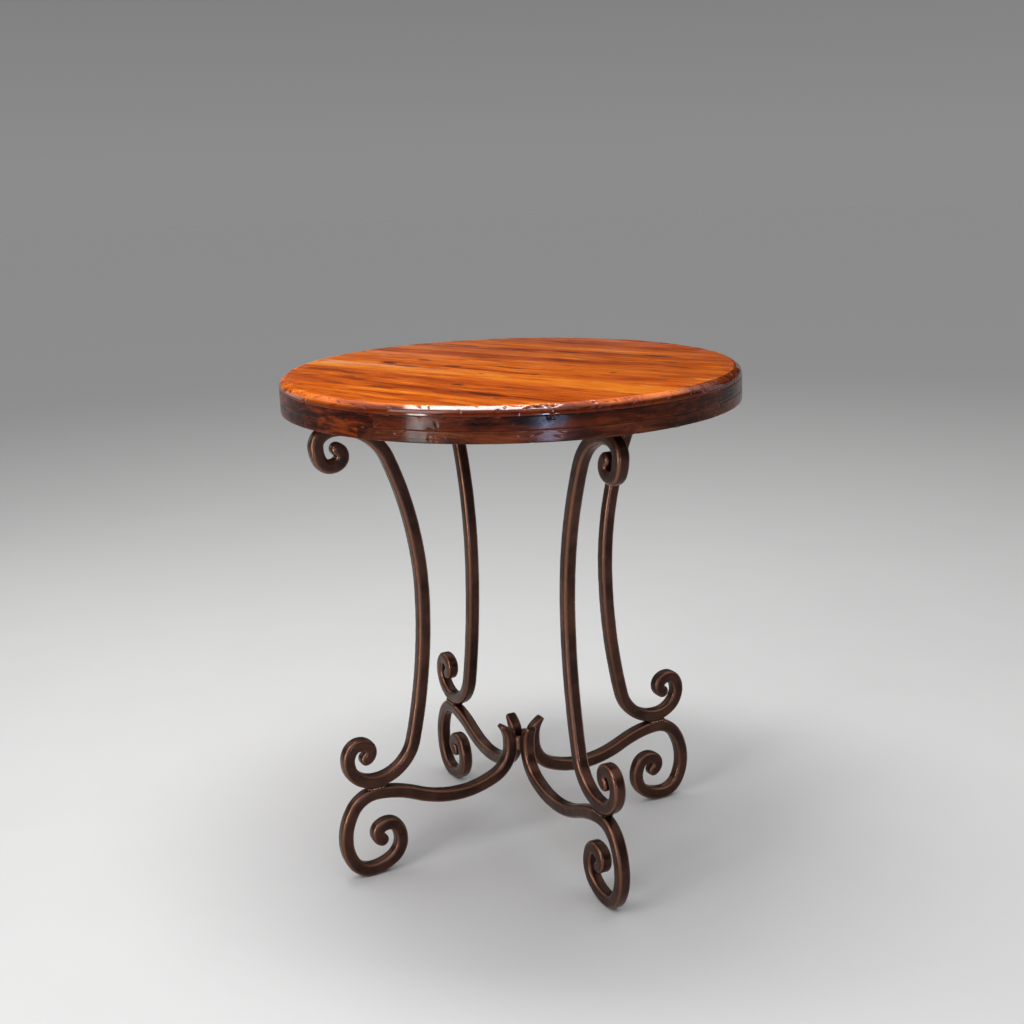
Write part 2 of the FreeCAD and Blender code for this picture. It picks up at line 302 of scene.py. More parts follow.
def make_board_figure():
    """Grain of a board: bands, clouds, streaks, flames, dark threads, fibres, short pores and small knots."""
    group, start, end = new_group(
        "board_figure", {"Place": None, "Waviness": 0.012, "Knots": 0.6},
        ("Bands", "Clouds", "Streaks", "Flames", "Threads", "Fibres", "Pores", "Knots", "Height"))
    place = start.outputs["Place"]
    # Knots sit in some of the cells, and the grain curls beside them
    off, kept = chosen_cells(group, stretched(group, place, 5.0, 17.0, 9.0), "Red", start.outputs["Knots"])
    rough = swing(group, cloud(group, stretched(group, place, 40.0, 90.0, 90.0), 3.0), 0.2)
    away = plus(group, off, rough)
    near = times(group, fade(group, away, 0.5, 0.05), kept)
    heart = times(group, fade(group, away, 0.15, 0.02), kept)
    wander = cloud(group, stretched(group, place, 2.2, 4.0, 4.0), 3.0)
    curl = cloud(group, stretched(group, place, 26.0, 50.0, 50.0), 2.0)
    sway = swing(group, wander, times(group, start.outputs["Waviness"], 3.0))
    sway = plus(group, sway, swing(group, curl, times(group, near, 0.03)))
    aside = add(group, "ShaderNodeCombineXYZ", {"Y": sway, "Z": sway}).outputs[0]
    bent = add(group, "ShaderNodeVectorMath", {0: place, 1: aside}).outputs[0]
    bands = cloud(group, stretched(group, bent, 1.5, 12.0, 12.0), 2.0, 0.5)
    clouds = cloud(group, stretched(group, bent, 5.0, 19.0, 19.0), 3.0, 0.55, 0.3)
    streaks = cloud(group, stretched(group, bent, 2.8, 62.0, 62.0), 4.0, 0.6, 0.5)
    # Flames are lens-shaped patches with a crisp edge, darker or lighter than the rest
    large = cloud(group, stretched(group, bent, 5.5, 42.0, 42.0), 1.5, 0.5, 0.6)
    small = cloud(group, stretched(group, bent, 12.0, 85.0, 85.0), 1.0, 0.5, 0.4)
    flames = plus(group, fade(group, large, 0.40, 0.33, 0.0, 0.5), fade(group, large, 0.56, 0.64, 0.5, 0.0))
    flames = plus(group, flames, fade(group, small, 0.60, 0.68, 0.0, -0.3))
    fine = cloud(group, stretched(group, bent, 4.0, 150.0, 150.0), 2.0, 0.5, 0.4)
    here = cloud(group, stretched(group, place, 5.0, 12.0, 12.0), 2.0)
    threads = times(group, fade(group, fine, 0.57, 0.70), fade(group, here, 0.42, 0.60))
    fibres = cloud(group, stretched(group, bent, 9.0, 430.0, 430.0), 3.0, 0.6)
    dashes = cloud(group, stretched(group, bent, 22.0, 170.0, 170.0), 2.0, 0.5)
    pores = fade(group, dashes, 0.64, 0.74)
    height = plus(group, times(group, fibres, 0.5), times(group, streaks, 0.5))
    height = minus(group, height, times(group, pores, 0.6))
    put_out(group, end, Bands=bands, Clouds=clouds, Streaks=streaks, Flames=flames, Threads=threads,
            Fibres=fibres, Pores=pores, Knots=heart, Height=height)
    return group


def make_long_streak():
    """One long streak of another tone in the top, with ragged sides and soft ends."""
    group, start, end = new_group(
        "long_streak",
        {"Place": None, "Across": 0.0, "Half Width": 0.02, "Slant": 0.0, "From": -0.6, "To": 0.6}, ("Mask",))
    end_length = 0.14
    place, first, last = start.outputs["Place"], start.outputs["From"], start.outputs["To"]
    parts = add(group, "ShaderNodeSeparateXYZ", {"Vector": place})
    along, across = parts.outputs["X"], parts.outputs["Y"]
    middle = plus(group, start.outputs["Across"], times(group, along, start.outputs["Slant"]))
    ragged = swing(group, cloud(group, stretched(group, place, 3.5, 30.0, 30.0), 4.0, 0.6), 0.035)
    off = plus(group, minus(group, across, middle), ragged)
    off = calc(group, "DIVIDE", calc(group, "ABSOLUTE", off), start.outputs["Half Width"])
    body = fade(group, off, 1.2, 0.6)
    left = fade(group, along, first, plus(group, first, end_length))
    right = fade(group, along, minus(group, last, end_length), last, 1.0, 0.0)
    patches = cloud(group, stretched(group, place, 7.0, 24.0, 24.0), 3.0, 0.6)
    patchy = fade(group, patches, 0.32, 0.56, 0.25, 1.0)
    ends = times(group, times(group, left, right), patchy)
    put_out(group, end, Mask=times(group, body, ends))
    return group


def make_dark_knot():
    """One small knot: a dark ragged fleck, drawn out along the grain."""
    group, start, end = new_group(
        "dark_knot", {"Place": None, "Middle": None, "Length": 0.02, "Width": 0.005}, ("Mask",))
    place, middle = start.outputs["Place"], start.outputs["Middle"]
    off = add(group, "ShaderNodeVectorMath", {0: place, 1: middle}, operation="SUBTRACT").outputs[0]
    parts = add(group, "ShaderNodeSeparateXYZ", {"Vector": off})
    ragged = swing(group, cloud(group, stretched(group, place, 14.0, 110.0, 10.0), 3.0, 0.6), 0.04)
    along = calc(group, "DIVIDE", parts.outputs["X"], start.outputs["Length"])
    across = calc(group, "DIVIDE", plus(group, parts.outputs["Y"], ragged), start.outputs["Width"])
    away = calc(group, "SQRT", plus(group, times(group, along, along), times(group, across, across)))
    put_out(group, end, Mask=fade(group, away, 1.1, 0.5))
    return group


def make_plank_joint():
    """The hairline joint between two planks, open only in places."""
    group, start, end = new_group("plank_joint", {"Place": None, "Across": 0.0}, ("Mask",))
    place = start.outputs["Place"]
    across = add(group, "ShaderNodeSeparateXYZ", {"Vector": place}).outputs["Y"]
    off = calc(group, "ABSOLUTE", minus(group, across, start.outputs["Across"]))
    patches = cloud(group, stretched(group, place, 8.0, 30.0, 8.0), 3.0, 0.6)
    there = fade(group, patches, 0.40, 0.58, 0.15, 1.0)
    put_out(group, end, Mask=times(group, fade(group, off, 0.0010, 0.0003), there))
    return group


def make_arris_wear():
    """Wear along an edge, broken up so that only the proud spots are rubbed."""
    group, start, end = new_group(
        "arris_wear", {"Edge": 0.0, "Place": None, "Patch Size": 0.02, "Reach": 0.5}, ("Mask",))
    grain = calc(group, "DIVIDE", 1.0, start.outputs["Patch Size"])
    patches = cloud(group, scaled(group, start.outputs["Place"], grain), 4.0, 0.65)
    level = plus(group, patches, times(group, start.outputs["Reach"], start.outputs["Edge"]))
    put_out(group, end, Mask=fade(group, level, 0.78, 0.98))
    return group


def make_old_marks():
    """Small dark specks, hair cracks and dents of an old surface."""
    group, start, end = new_group(
        "old_marks", {"Place": None, "Speck Spread": 30.0, "Amount": 0.7}, ("Specks", "Cracks", "Dents"))
    place = start.outputs["Place"]
    # Specks are drawn out along the grain and frayed
    drawn_out = scaled(group, stretched(group, place, 0.4, 1.0, 1.0), start.outputs["Speck Spread"])
    off, kept = chosen_cells(group, drawn_out, "Green", start.outputs["Amount"])
    frayed = swing(group, cloud(group, stretched(group, place, 70.0, 330.0, 330.0), 3.0, 0.6), 0.3)
    specks = times(group, fade(group, plus(group, off, frayed), 0.14, 0.02), kept)
    # Cracks follow the middle line of a drawn-out noise, here and there
    line = minus(group, cloud(group, stretched(group, place, 5.0, 48.0, 48.0), 2.0), 0.5)
    spot = cloud(group, scaled(group, place, 13.0), 1.0)
    cracks = fade(group, calc(group, "ABSOLUTE", line), 0.009, 0.002)
    cracks = times(group, cracks, fade(group, spot, 0.56, 0.62))
    # Dents are cells drawn out along the grain and bent
    swirl = add(group, "ShaderNodeTexNoise", {"Vector": place, "Scale": 22.0, "Detail": 1.0}).outputs["Color"]
    feeds = {0: swirl, 1: (0.03, 0.03, 0.03), 2: place}
    curved = add(group, "ShaderNodeVectorMath", feeds, operation="MULTIPLY_ADD").outputs[0]
    off, struck = chosen_cells(group, stretched(group, curved, 34.0, 105.0, 105.0), "Blue", 0.70)
    dents = times(group, fade(group, off, 0.42, 0.12), struck)
    put_out(group, end, Specks=specks, Cracks=cracks, Dents=dents)
    return group


def make_iron_skin():
    """Bronzed skin of the iron: cloudy tone, bright specks and a fine grain."""
    group, start, end = new_group("iron_skin", {"Place": None}, ("Cloud", "Specks", "Height"))
    place = start.outputs["Place"]
    broad = cloud(group, scaled(group, place, 14.0), 4.0, 0.6)
    fine = cloud(group, scaled(group, place, 160.0), 3.0, 0.6)
    dots = cloud(group, scaled(group, place, 420.0), 1.0)
    mixed = plus(group, times(group, broad, 0.93), times(group, fine, 0.07))
    height = plus(group, fine, times(group, dots, 0.4))
    put_out(group, end, Cloud=mixed, Specks=fade(group, dots, 0.7, 0.78), Height=height)
    return group


board_figure = make_board_figure()
long_streak = make_long_streak()
dark_knot = make_dark_knot()
plank_joint = make_plank_joint()
arris_wear = make_arris_wear()
old_marks = make_old_marks()
iron_skin = make_iron_skin()

# Streaks of the top: place across, half width, slant, start, end, and how much lighter or darker
TOP_STREAKS = (
    (-0.118, 0.040, 0.018, -0.60, 0.52, 0.20),
    (0.165, 0.030, 0.060, -0.50, 0.30, 0.10),
    (-0.335, 0.016, 0.020, -0.22, 0.12, 0.20),
    (0.035, 0.036, 0.020, -0.55, 0.20, 0.08),
    (0.110, 0.030, 0.070, -0.50, 0.25, -0.20),
    (0.212, 0.014, 0.085, -0.60, 0.42, -0.22),
    (-0.060, 0.012, -0.020, -0.34, 0.16, -0.20),
    (-0.190, 0.020, -0.010, -0.55, 0.30, -0.13),
    (-0.287, 0.017, -0.015, -0.20, 0.55, -0.18),
    (0.355, 0.050, 0.030, -0.50, 0.50, -0.10),
)

# Knots of the top: place along and across, half length, half width, and how dark
TOP_KNOTS = (
    (-0.262, -0.070, 0.030, 0.010, 0.90), (-0.205, -0.088, 0.070, 0.008, 0.66),
    (-0.108, -0.050, 0.026, 0.009, 0.84), (0.004, -0.012, 0.044, 0.008, 0.66),
    (-0.220, -0.008, 0.028, 0.008, 0.70), (-0.330, -0.192, 0.070, 0.009, 0.70),
    (-0.240, -0.205, 0.050, 0.008, 0.60), (0.050, -0.225, 0.020, 0.012, 0.78),
    (0.185, 0.250, 0.060, 0.010, 0.76), (0.080, 0.243, 0.080, 0.008, 0.68),
    (-0.010, 0.220, 0.060, 0.008, 0.68), (0.372, 0.030, 0.046, 0.009, 0.64),
    (0.310, 0.140, 0.050, 0.008, 0.60), (0.110, -0.060, 0.008, 0.007, 0.76),
    (0.230, 0.020, 0.008, 0.007, 0.76), (-0.060, -0.310, 0.046, 0.008, 0.60),
    (0.160, -0.285, 0.080, 0.009, 0.58), (-0.320, -0.270, 0.060, 0.008, 0.60),
    (-0.140, 0.110, 0.090, 0.010, 0.50), (0.120, 0.150, 0.070, 0.010, 0.54),
    (-0.300, 0.205, 0.080, 0.008, 0.50),
)


# Finishes

def figured(tree, board, tone, shares):
    """Tone of the wood: the board's own, swayed by shares of the parts of its grain."""
    tone = plus(tree, surface(tree, "board_tone", "Fac"), tone)
    for part, share in zip(("Bands", "Clouds", "Streaks", "Flames", "Fibres"), shares):
        tone = plus(tree, tone, swing(tree, board.outputs[part], share))
    return tone


def lacquer(tree, shader, place, patches, low, high, raw):
    """Gloss of the lacquer, uneven in patches, and dull where the wood is raw."""
    rough = fade(tree, cloud(tree, scaled(tree, place, patches), 3.0), 0.3, 0.7, low, high)
    tree.links.new(plus(tree, rough, times(tree, raw, 0.5)), shader.inputs["Roughness"])


def make_plank_finish():
    """Lacquered planks: orange brown along the grain, with honey streaks, dark flecks and worn arrises."""
    finish, tree, shader = new_finish("lacquered_planks")
    place = surface(tree, "grain_place")
    whole = add(tree, "ShaderNodeTexCoord").outputs["Object"]
    board = use(tree, board_figure, {"Place": place, "Waviness": 0.014, "Knots": 0.66})
    tone = figured(tree, board, 0.60, (0.36, 0.50, 0.34, 0.34, 0.16))
    for across, wide, slant, first, last, share in TOP_STREAKS:
        streak = use(tree, long_streak, {
            "Place": whole, "Across": across, "Half Width": wide, "Slant": slant, "From": first, "To": last})
        tone = plus(tree, tone, times(tree, streak.outputs["Mask"], share))
    knots = []
    for along, across, length, wide, share in TOP_KNOTS:
        knot = use(tree, dark_knot, {
            "Place": whole, "Middle": (along, across, 0.0), "Length": length, "Width": wide})
        knots.append(times(tree, knot.outputs["Mask"], share))
    joints = []
    for number in range(1, PLANKS):
        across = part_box(f"plank_{number}")[1].y
        joints.append(use(tree, plank_joint, {"Place": whole, "Across": across}).outputs["Mask"])
    marks = use(tree, old_marks, {"Place": place, "Speck Spread": 26.0, "Amount": 0.78})
    edge = surface(tree, "edge_wear", "Fac")
    rubbed = use(tree, arris_wear, {"Edge": edge, "Place": whole, "Patch Size": 0.022, "Reach": 0.30})
    zones = fade(tree, cloud(tree, scaled(tree, whole, 5.0), 1.0), 0.46, 0.6)
    raw = surface(tree, "raw_wood", "Fac")
    colour = ramp(tree, tone, (
        (0.00, (0.080, 0.010, 0.001)), (0.22, (0.240, 0.032, 0.002)), (0.42, (0.430, 0.064, 0.003)),
        (0.58, (0.600, 0.106, 0.005)), (0.76, (0.760, 0.175, 0.010)), (1.00, (0.900, 0.300, 0.026))))
    colour = layered(tree, colour, (
        (board.outputs["Threads"], 0.70, (0.140, 0.020, 0.002)),
        (board.outputs["Pores"], 0.55, (0.110, 0.016, 0.002)),
        (board.outputs["Knots"], 0.85, (0.045, 0.009, 0.003)),
        (strongest(tree, knots), 1.0, (0.055, 0.008, 0.002)),
        (strongest(tree, joints), 0.7, (0.060, 0.010, 0.002)),
        (marks.outputs["Specks"], 0.7, (0.05, 0.010, 0.003)),
        (marks.outputs["Cracks"], 0.5, (0.05, 0.008, 0.002)),
        (times(tree, rubbed.outputs["Mask"], zones), 0.7, (0.86, 0.36, 0.07))))
    # Painted shade: the round-over is multiplied darker by its stain mask, least at the lit left and most at
    # the shaded right
    colour = tint(tree, surface(tree, "edge_stain_and_shade", "Fac"), colour, (0.13, 0.055, 0.10, 1), "MULTIPLY")
    # Deep chips are painted darker, and raw wood paler
    colour = layered(tree, colour, (
        (surface(tree, "chip_darkening", "Fac"), 0.9, (0.012, 0.003, 0.001)),
        (raw, 0.6, (0.300, 0.140, 0.055))))
    tree.links.new(colour, shader.inputs["Base Color"])
    lacquer(tree, shader, whole, 9.0, 0.07, 0.13, raw)
    dents = times(tree, marks.outputs["Dents"], surface(tree, "round_over", "Fac"))
    height = minus(tree, times(tree, board.outputs["Height"], 0.12), times(tree, dents, 1.4))
    raised(tree, shader, height, 0.0004)
    return finish


def make_rim_finish(name, stops, specks):
    """Lacquered rim: darker stain over the same wood, with mottled figure, specks and rubbed arrises."""
    finish, tree, shader = new_finish(name)
    place = surface(tree, "grain_place")
    board = use(tree, board_figure, {"Place": place, "Waviness": 0.02, "Knots": 0.72})
    tone = figured(tree, board, 0.5, (0.5, 0.8, 0.4, 0.3, 0.2))
    blotch = cloud(tree, stretched(tree, place, 17.0, 50.0, 50.0), 3.0, 0.6, 0.8)
    tone = plus(tree, tone, swing(tree, blotch, 1.1))
    marks = use(tree, old_marks, {"Place": place, "Speck Spread": 55.0, "Amount": specks})
    edge = surface(tree, "edge_wear", "Fac")
    rubbed = use(tree, arris_wear, {"Edge": edge, "Place": place, "Patch Size": 0.02, "Reach": 0.26})
    raw = surface(tree, "raw_wood", "Fac")
    colour = layered(tree, ramp(tree, tone, stops), (
        (board.outputs["Threads"], 0.6, (0.012, 0.003, 0.001)),
        (board.outputs["Knots"], 0.8, (0.015, 0.005, 0.003)),
        (marks.outputs["Specks"], 0.85, (0.012, 0.004, 0.003)),
        (marks.outputs["Cracks"], 1.0, (0.012, 0.004, 0.003)),
        (rubbed.outputs["Mask"], 0.5, (0.36, 0.11, 0.04)),
        (raw, 0.5, (0.160, 0.070, 0.030))))
    tree.links.new(colour, shader.inputs["Base Color"])
    lacquer(tree, shader, place, 12.0, 0.13, 0.24, raw)
    shader.inputs["Specular IOR Level"].default_value = 0.20
    height = minus(tree, times(tree, board.outputs["Height"], 0.35), marks.outputs["Dents"])
    raised(tree, shader, height, 0.0005)
    return finish


def make_iron_finish(name, dark, light, rub_and_highlight, gloss, sheen):
    """Oil-rubbed iron: dark brown in the flats, copper brown along the corners: partly rubbed wear, partly a
    painted highlight.
    """
    finish, tree, shader = new_finish(name)
    place = add(tree, "ShaderNodeTexCoord").outputs["Object"]
    skin = use(tree, iron_skin, {"Place": place})
    corner = surface(tree, "corner", "Fac")
    rubbed = use(tree, arris_wear, {"Edge": corner, "Place": place, "Patch Size": 0.05, "Reach": 0.32})
    # Painted highlight: every rounded corner gets the copper colour as if it caught the light, with rubbed
    # wear patches besides
    soft = plus(tree, times(tree, rubbed.outputs["Mask"], 0.15), times(tree, corner, 0.75))
    colour = tint(tree, fade(tree, skin.outputs["Cloud"], 0.32, 0.68), (*dark, 1), (*light, 1))
    colour = layered(tree, colour, ((soft, 1.0, rub_and_highlight), (skin.outputs["Specks"], 0.2, rub_and_highlight)))
    tree.links.new(colour, shader.inputs["Base Color"])
    rough = fade(tree, skin.outputs["Cloud"], 0.3, 0.7, gloss + 0.08, gloss - 0.05)
    tree.links.new(rough, shader.inputs["Roughness"])
    shader.inputs["Metallic"].default_value = sheen
    raised(tree, shader, skin.outputs["Height"], 0.0003, 0.05)
    return finish


plank_finish = make_plank_finish()
dark_rim = make_rim_finish("lacquered_dark_rim", (
    (0.0, (0.004, 0.001, 0.0005)), (0.3, (0.020, 0.003, 0.0007)), (0.52, (0.062, 0.009, 0.002)),
    (0.75, (0.140, 0.022, 0.004)), (1.0, (0.300, 0.056, 0.008))), 0.80)
flame_rim = make_rim_finish("lacquered_flame_rim", (
    (0.0, (0.004, 0.0006, 0.0003)), (0.32, (0.028, 0.0030, 0.0004)), (0.5, (0.095, 0.012, 0.001)),
    (0.7, (0.220, 0.036, 0.002)), (1.0, (0.450, 0.100, 0.006))), 0.82)
brown_rim = make_rim_finish("lacquered_brown_rim", (
    (0.0, (0.008, 0.002, 0.001)), (0.3, (0.042, 0.008, 0.002)), (0.52, (0.105, 0.022, 0.007)),
    (0.75, (0.175, 0.040, 0.012)), (1.0, (0.300, 0.080, 0.022))), 0.70)
# The third colour of each iron finish is the copper of rubbed wear and of the painted corner highlight
bar_finish = make_iron_finish(
    "bronzed_bars", (0.027, 0.0105, 0.0068), (0.080, 0.0315, 0.0190), (0.220, 0.095, 0.054), 0.31, 0.75)
plate_finish = make_iron_finish(
    "bronzed_plates", (0.026, 0.012, 0.009), (0.060, 0.028, 0.020), (0.180, 0.085, 0.050), 0.5, 0.5)
bead_finish = make_iron_finish(
    "weld_beads", (0.090, 0.044, 0.028), (0.260, 0.140, 0.090), (0.560, 0.340, 0.220), 0.34, 0.75)
spot_finish = make_iron_finish(
    "weld_spots", (0.260, 0.150, 0.100), (0.520, 0.340, 0.240), (0.700, 0.500, 0.380), 0.30, 0.75)
screw_finish = make_iron_finish(
    "screw_heads", (0.110, 0.095, 0.080), (0.240, 0.215, 0.185), (0.400, 0.370, 0.330), 0.36, 0.85)


# Wooden pieces

# Chips of the round-over: turn in degrees, place down the profile, lean, half length, half width, depth
EDGE_CHIPS = (
    (-46.5, 0.0285, 0.25, 0.0085, 0.0022, 0.0030), (-48.5, 0.0310, -0.40, 0.0070, 0.0018, 0.0024),
    (-44.5, 0.0265, 0.70, 0.0060, 0.0018, 0.0026), (-51.0, 0.0240, 0.05, 0.0100, 0.0016, 0.0018),
    (-45.5, 0.0240, -0.60, 0.0060, 0.0014, 0.0024), (-43.0, 0.0285, -0.30, 0.0060, 0.0015, 0.0022),
    (-34.0, 0.0250, 0.85, 0.0085, 0.0016, 0.0024), (-36.0, 0.0220, 0.20, 0.0080, 0.0016, 0.0014),
    (-30.5, 0.0290, 0.10, 0.0070, 0.0018, 0.0015), (-25.0, 0.0260, -0.30, 0.0090, 0.0018, 0.0013),
    (-13.0, 0.0230, 0.60, 0.0070, 0.0020, 0.0016), (-10.5, 0.0245, 0.10, 0.0060, 0.0020, 0.0014),
    (-70.5, 0.0300, 1.30, 0.0050, 0.0012, 0.0016), (-79.0, 0.0330, 0.15, 0.0100, 0.0016, 0.0014),
    (-95.0, 0.0310, 0.30, 0.0100, 0.0024, 0.0014), (-104.0, 0.0280, -0.20, 0.0090, 0.0024, 0.0013),
    (-118.0, 0.0330, 0.25, 0.0110, 0.0026, 0.0014), (-127.0, 0.0290, 0.50, 0.0080, 0.0024, 0.0013),
    (-99.0, 0.0240, 0.90, 0.0060, 0.0014, 0.0018), (-109.0, 0.0310, -0.50, 0.0080, 0.0016, 0.0018),
    (-112.0, 0.0260, 0.30, 0.0060, 0.0014, 0.0016), (-115.5, 0.0300, 1.00, 0.0050, 0.0013, 0.0018),
    (-122.0, 0.0270, 0.50, 0.0070, 0.0016, 0.0018), (-131.0, 0.0300, 0.20, 0.0070, 0.0016, 0.0016),
    (-136.0, 0.0260, 0.80, 0.0060, 0.0016, 0.0018), (-90.0, 0.0330, 0.10, 0.0120, 0.0018, 0.0016),
)

# Stain of the round-over with painted shade, by turns in degrees: where each zone begins, is full, wanes and
# ends. The lit zone at the left gets less stain, and the shaded zone at the right is painted dark as shade
LIT_ZONE = (-185, -160, -98, -84)
WORN_ZONE = (-44, -30, -12, 0)
SHADED_ZONE = (-14, -2, 40, 60)
LIP_RISE = (-4, 10)

# Each plank's tone and slant of grain in radians, and how far back from the edge dents begin and are full
PLANK_TONES = (0.00, -0.05, 0.05, 0.03, 0.02, 0.05, -0.01)
GRAIN_SLANTS = (-0.05, -0.03, 0.01, 0.04, 0.08, 0.11, 0.07)
DENTED_BACK = (0.020, 0.014)


def between(value, low, high):
    """How far a value lies from low to high, held to 0 and 1."""
    return min(1.0, max(0.0, (value - low) / (high - low)))


def within(turn, begins, full, wanes, ends):
    """How much of a zone there is at a turn."""
    return between(turn, begins, full) * between(turn, ends, wanes)


def edge_stain_and_shade(spot, down):
    """Stain on the round-over, from the lip down, with painted shade in it: lower at worn spots and at the
    lit left, full and painted darker as shade at the right.
    """
    turn = (math.degrees(math.atan2(spot.y, spot.x)) + 190) % 360 - 190
    lip = 0.0008 + 0.0030 * within(turn, *WORN_ZONE) + 0.0010 * noise.noise(spot * 30.0)
    lip -= 0.0016 * between(turn, *LIP_RISE)
    front = between(down, lip, lip + 0.0045) * (0.92 + 0.10 * noise.noise(spot * 9.0))
    # Less stain at the left, where light falls; at the right the round-over is painted dark as shade
    left = between(down, 0.0038 + 0.003 * noise.noise(spot * 24.0), 0.0130) * 0.88
    reach = math.hypot(spot.x, spot.y) - (TOP_RADIUS - ROUND_OVER)
    right = between(reach, -0.0030, 0.0015) * within(turn, *SHADED_ZONE) * 0.88
    return max(right, front + (left - front) * within(turn, *LIT_ZONE))


def knocks(seed, count, first, last):
    """Dents and cuts along an edge: turn, place down the profile, lean, half length, half width, depth."""
    pick = Random(seed)
    made = []
    for _ in range(count):
        made.append((
            pick.uniform(0, 2 * math.pi), pick.uniform(first, last), pick.uniform(-KNOCK_LEAN, KNOCK_LEAN),
            pick.uniform(*KNOCK_HALF_LENGTH), pick.uniform(*KNOCK_HALF_WIDTH), pick.uniform(*KNOCK_DEPTH)))
    return sorted(made)


def near_knocks(marks, turn):
    """The knocks close enough to a turn to count, each with how far round from it the turn is."""
    found = []
    for middle, *rest in marks:
        off = (turn - middle + math.pi) % (2 * math.pi) - math.pi
        if abs(off) < KNOCK_REACH:
            found.append((off, *rest))
    return found


def sunk(down, near):
    """Depth of the near knocks at one place down the profile."""
    depth = 0.0
    for off, level, lean, half_length, half_width, deep in near:
        x = off * TOP_RADIUS
        y = down - level
        along = x * math.cos(lean) + y * math.sin(lean)
        over = y * math.cos(lean) - x * math.sin(lean)
        depth = max(depth, deep * math.exp(-(along / half_length) ** 2 - (over / half_width) ** 2))
    return depth


def arris_rows(height, first, last, wear):
    """Rows of a rounded arris: distance out, height, the way the surface faces, and wear."""
    rows = []
    for step in range(ARRIS_STEPS + 1):
        angle = math.radians(first + (last - first) * step / ARRIS_STEPS)
        out, up = math.cos(angle), math.sin(angle)
        rows.append((TOP_RADIUS - ARRIS + ARRIS * out, height + ARRIS * up, out, up, wear))
    return rows


def plank_rows(low, high):
    """Profile of the planks' edge, from the flat top over the round to the underside."""
    flat = TOP_RADIUS - ROUND_OVER
    rows = [(flat - back, high, 0, 1, wear) for back, wear in LIP_WEAR]
    # The round is planed nearly flat between two of its tilts
    first, last = math.radians(90 - FLAT_FROM), math.radians(90 - FLAT_TO)
    for tilt in ROUND_TILTS:
        angle = math.radians(90 - tilt)
        out, up = math.cos(angle), math.sin(angle)
        reach = ROUND_OVER
        if FLAT_FROM < tilt < FLAT_TO:
            chord = ROUND_OVER * math.cos(0.5 * (first - last)) / math.cos(angle - 0.5 * (first + last))
            reach = chord + FLAT_ROUNDNESS * (ROUND_OVER - chord)
        wear = max(0.0, 1.0 - tilt / LIP_WEAR_TILT) + ROUND_END_WEAR * (tilt == ROUND_TILTS[-1])
        rows.append((flat + reach * out, high - ROUND_OVER + reach * up, out, up, wear))
    rows += arris_rows(low + ARRIS, 0, -90, PLANK_ARRIS_WEAR)
    rows += [(TOP_RADIUS - back, low, 0, -1, 0.0) for back in (UNDERSIDE_BACK, UNDERSIDE_INNER)]
    return rows


def rim_rows(low, high):
    """Profile of a rim layer: over its top, down its face and back underneath."""
    rows = [(RIM_INNER, high, 0, 1, 0.0), (TOP_RADIUS - UNDERSIDE_BACK, high, 0, 1, 0.0)]
    rows += arris_rows(high - ARRIS, 90, 0, RIM_ARRIS_WEAR)
    count = max(4, round((high - low) / RIM_ROW))
    for step in range(1, count):
        z = high - ARRIS - (high - low - 2 * ARRIS) * step / count
        rows.append((TOP_RADIUS, z, 1, 0, RIM_FACE_WEAR if step in (1, count - 1) else 0.0))
    rows += arris_rows(low + ARRIS, 0, -90, RIM_ARRIS_WEAR)
    rows += [(TOP_RADIUS - UNDERSIDE_BACK, low, 0, -1, 0.0), (RIM_INNER, low, 0, -1, 0.0)]
    return rows


def turned_rows(shape, rows, start, sweep, steps, marks, seed):
    """Rows of points swept round the table, hollowed a little by scraping and by knocks."""
    wear = shape.verts.layers.float.new("edge_wear")
    darkening = shape.verts.layers.float.new("chip_darkening")
    raw = shape.verts.layers.float.new("raw_wood")
    runs = [0.0]
    for before, after in zip(rows, rows[1:]):
        runs.append(runs[-1] + math.hypot(after[0] - before[0], after[1] - before[1]))
    made = []
    for step in range(steps):
        turn = start + sweep * step
        near = near_knocks(marks, turn)
        c, s = math.cos(turn), math.sin(turn)
        column = []
        for (radius, height, out, up, worn), run in zip(rows, runs):
            depth = 0.0
            if radius > TOP_RADIUS - WORKED_BAND:
                spot = Vector((radius * c, radius * s, height + seed))
                depth = SCRAPE_DEPTH + SCRAPE_SWING * noise.noise(spot * SCRAPE_GRAIN) + sunk(run, near)
                depth = max(0.0, depth) * min(1.0, (radius - TOP_RADIUS + WORKED_BAND) / WORKED_EASE)
            r = radius - depth * out
            vert = shape.verts.new((r * c, r * s, height - depth * up))
            vert[wear] = worn + min(MOST_DEPTH_WEAR, depth * DEPTH_WEAR)
            # The deeper a knock, the darker it is painted
            vert[darkening] = between(depth, *DARKENING_DEPTHS)
            underneath = up < -0.5 and radius < TOP_RADIUS - RAW_UNDERNEATH
            vert[raw] = float(radius < TOP_RADIUS - RAW_INSIDE or underneath)
            column.append(vert)
        made.append(column)
    return made


def skin(shape, columns, closed, loop):
    """Faces between the swept rows."""
    pairs = list(zip(columns, columns[1:])) + ([(columns[-1], columns[0])] if closed else [])
    for left, right in pairs:
        count = len(left)
        for row in range(count if loop else count - 1):
            after = (row + 1) % count
            shape.faces.new((left[row], left[after], right[after], right[row]))


def finish_piece(shape, name, finish, slot, *nodes):
    """Turns the shape into a piece of the table that stands for its CAD node."""
    bmesh.ops.recalc_face_normals(shape, faces=shape.faces)
    for face in shape.faces:
        face.smooth = True
    for edge in shape.edges:
        if len(edge.link_faces) == 2 and edge.calc_face_angle() > SHARP_FOLD:
            edge.smooth = False
    mesh = bpy.data.meshes.new(name)
    shape.to_mesh(mesh)
    shape.free()
    place_piece(mesh, name, finish, slot, *nodes)


